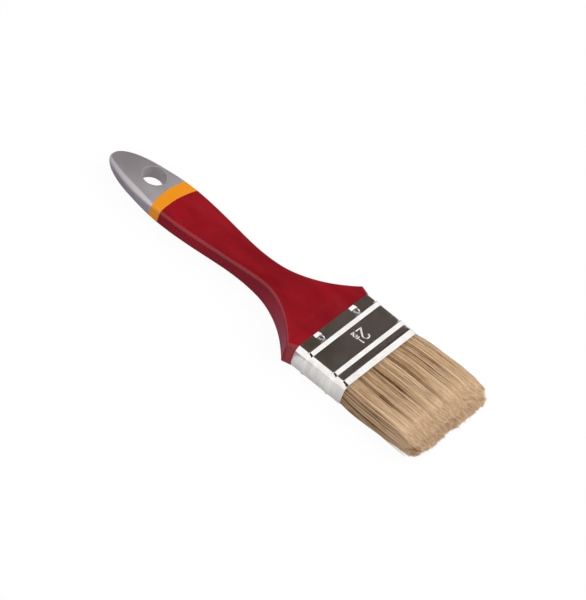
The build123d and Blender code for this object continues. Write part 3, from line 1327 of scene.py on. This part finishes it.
@dataclass
class Tuft:
    """The whole tuft: a dark core and five groups of bristles."""

    shape: TuftShape = field(default_factory=TuftShape)
    shell: float = 1.6 * MM
    depth: float = 6.6 * MM

    def build(self) -> list[bpy.types.Object]:
        """Builds every group.

        Returns:
            The pieces.
        """
        material = Bristle().build()
        shape, shell = self.shape, self.shell
        groups = [
            BristleGroup("bristles_upper", Face.UPPER, shape, count=2900, seed=11, deepest=shell),
            BristleGroup("bristles_upper_second", Face.UPPER, shape, count=2900, seed=15, deepest=shell),
            BristleGroup("bristles_under", Face.UNDER, shape, count=2900, seed=12, deepest=shell),
            BristleGroup("bristles_edges", Face.EDGES, shape, count=2400, seed=13, deepest=shell),
            BristleGroup("bristles_inner", Face.INNER, shape, count=7400, seed=14, deepest=self.depth,
                         rings=5),
        ]
        return [TuftCore(shape).build(), *[group.build(material) for group in groups]]


# ---------------------------------------------------------------- studio


@dataclass
class Studio:
    """A white table under an even sky, a soft lamp, and four flags that only reflections see."""

    sky: float = 0.6
    floor_tone: float = 0.72
    floor_seen: float = 0.94
    floor_mirrored: float = 0.12
    floor_glow: float = 1.02
    floor_span: float = 6.0
    key_power: float = 10.5
    key_size: float = 1.1
    key_place: tuple = (0.75, 0.45, 0.95)
    flag_ends: tuple = (-1.6, -0.09)
    flag_place: float = 0.55
    flag_heights: tuple = (0.0, 1.9, 3.0)
    far_tones: tuple = (linear(62, 53, 48), linear(94, 86, 80))
    upper_tones: tuple = (linear(104, 88, 78), linear(140, 122, 110))
    near_way: tuple = (0.43, -0.16, 0.89)
    near_away: float = 0.9
    near_half_sides: tuple = (0.42, 0.3)
    near_tones: tuple = (linear(24, 22, 22), linear(40, 38, 38))
    # painted shade: a dim sheet on the table by the handle, seen only in reflections, that stands for the
    # table's shadow there
    table_shadow_box: tuple = (-0.135, -0.1, 0.032, -0.008)
    table_shadow_height: float = 0.0004
    table_shadow_tones: tuple = (linear(96, 82, 104), linear(132, 120, 138))
    camera_place: tuple = (0.96695, -2.03326, 2.38797)
    camera_right: tuple = (0.74438803, 0.62508604, 0.23484871)
    camera_up: tuple = (-0.60033908, 0.47249540, 0.64524498)
    camera_lens_mm: float = 368.04
    camera_sensor_mm: float = 36.0
    camera_sees_to: float = 20.0

    def white_world(self) -> None:
        """Sets the sky: white to the camera and in reflections, dimmer as light on the object."""
        world = bpy.data.worlds.new("studio_sky")
        bpy.context.scene.world = world
        world.use_nodes = True
        nodes = Nodes(world.node_tree)
        ray = nodes.add("ShaderNodeLightPath")
        seen = nodes.maths("MAXIMUM", ray.outputs["Is Camera Ray"], ray.outputs["Is Glossy Ray"])
        seen = nodes.maths("MAXIMUM", seen, ray.outputs["Is Transmission Ray"])
        background = world.node_tree.nodes["Background"]
        background.inputs["Color"].default_value = (1.0, 1.0, 1.0, 1.0)
        strength = nodes.ranged(seen, 0.0, 1.0, self.sky, 1.0)
        nodes.link(strength, background.inputs["Strength"])

    def level(self, left: float, near: float, right: float, far: float, height: float) -> list[tuple]:
        """The corners of a level oblong, from its near left one round to its far left one."""
        return [(left, near, height), (right, near, height), (right, far, height), (left, far, height)]

    def floor(self) -> bpy.types.Object:
        """Lays the table: a pale plane that glows white to the camera but keeps a soft shadow.

        Returns:
            The floor.
        """
        floor = flat_quad("table_floor", self.level(-self.floor_span, -self.floor_span,
                                                    self.floor_span, self.floor_span, 0.0))
        material, nodes, shader = Finish("white_table", roughness=0.9, specular=0.0).start()
        shader.inputs["Base Color"].default_value = (self.floor_tone,) * 3 + (1.0,)
        ray = nodes.add("ShaderNodeLightPath")
        seen = nodes.maths("MAXIMUM", ray.outputs["Is Camera Ray"], ray.outputs["Is Transmission Ray"])
        glow = nodes.add("ShaderNodeEmission", {"Color": (1.0, 1.0, 1.0, 1.0), "Strength": self.floor_glow})
        mirrored = nodes.maths("MULTIPLY", ray.outputs["Is Glossy Ray"], self.floor_mirrored)
        share = nodes.maths("MULTIPLY_ADD", seen, self.floor_seen, mirrored)
        mix = nodes.add("ShaderNodeMixShader", {0: share, 1: shader.outputs[0], 2: glow.outputs[0]})
        nodes.link(mix.outputs[0], material.node_tree.nodes["Material Output"].inputs["Surface"])
        floor.data.materials.append(material)
        return floor

    def flag(self, name: str, corners: list[tuple], tones: tuple[tuple, tuple]) -> bpy.types.Object:
        """Puts up a flag that only reflections see.

        Args:
            name: the flag's name.
            corners: its four corners, in metres.
            tones: the darker and the lighter colour that its cloth shows in a mirror, mixed by broad noise.

        Returns:
            The flag.
        """
        flag = flat_quad(name, corners)
        material, nodes, shader = Finish(f"{name}_cloth", specular=0.0).start()
        shader.inputs["Base Color"].default_value = (0.0, 0.0, 0.0, 1.0)
        clouds = nodes.ranged(nodes.noise(nodes.place(), scale=9.0), 0.38, 0.62)
        nodes.link(nodes.mixed(clouds, *tones), shader.inputs["Emission Color"])
        shader.inputs["Emission Strength"].default_value = 1.0
        flag.data.materials.append(material)
        for ray in ("camera", "diffuse", "shadow", "transmission", "volume_scatter"):
            setattr(flag, f"visible_{ray}", False)
        return flag

    def flags(self) -> None:
        """Puts up a large flag beyond the brush, a paler one over it, a dark one that hangs above the brush
        and faces it, and a low one that lies on the table along the handle's near side as painted shade for
        the table's shadow there."""
        (left, right), far = self.flag_ends, self.flag_place
        foot, join, top = self.flag_heights
        for name, low, high, tones in (("far_flag", foot, join, self.far_tones),
                                       ("upper_flag", join, top, self.upper_tones)):
            corners = [(left, far, low), (right, far, low), (right, far, high), (left, far, high)]
            self.flag(name, corners, tones)
        middle = Vector(self.near_way) * self.near_away
        across = Vector((0.0, 1.0, 0.0)) * self.near_half_sides[0]
        up = middle.cross(across).normalized() * self.near_half_sides[1]
        corners = [middle - across - up, middle + across - up, middle + across + up, middle - across + up]
        self.flag("near_flag", [tuple(corner) for corner in corners], self.near_tones)
        # painted shade: the table's shadow beside the handle, as the handle's side reflects it
        self.flag("table_shadow_flag", self.level(*self.table_shadow_box, self.table_shadow_height), self.table_shadow_tones)

    def lamp(self) -> None:
        """Hangs the soft key lamp beyond the brush, aimed at its middle."""
        light = bpy.data.lights.new("key_lamp", "AREA")
        light.shape = "SQUARE"
        light.size = self.key_size
        light.energy = self.key_power
        lamp = bpy.data.objects.new("key_lamp", light)
        lamp.location = self.key_place
        lamp.rotation_euler = (Vector((0.0, 0.0, 0.0)) - lamp.location).to_track_quat("-Z", "Y").to_euler()
        lamp.visible_glossy = False
        bpy.context.scene.collection.objects.link(lamp)

    def camera(self) -> None:
        """Places the camera: on the near side, above and towards the tips, far off with a long lens."""
        right, up = Vector(self.camera_right), Vector(self.camera_up)
        turn = Matrix((right, up, right.cross(up))).transposed().to_4x4()
        data = bpy.data.cameras.new("camera")
        data.sensor_width = self.camera_sensor_mm
        data.lens = self.camera_lens_mm
        data.clip_end = self.camera_sees_to
        camera = bpy.data.objects.new("camera", data)
        camera.matrix_world = Matrix.Translation(self.camera_place) @ turn
        bpy.context.scene.collection.objects.link(camera)
        bpy.context.scene.camera = camera

    def build(self) -> None:
        """Sets the view transform and puts up the sky, floor, flags, lamp and camera."""
        bpy.context.scene.view_settings.view_transform = "Standard"
        self.white_world()
        self.floor()
        self.flags()
        self.lamp()
        self.camera()
        LOG.info("studio: sky %.2f, lamp %.1f W", self.sky, self.key_power)


def main() -> None:
    """Builds the studio, the wood and nails, the ferrule and the tuft."""
    logging.basicConfig(level=logging.INFO, format="%(name)s %(message)s")
    Studio().build()
    effects = SharedEffects()
    WoodParts().build(effects)
    TinFerrule().build(effects)
    Tuft().build()


if __name__ == "__main__":
    main()
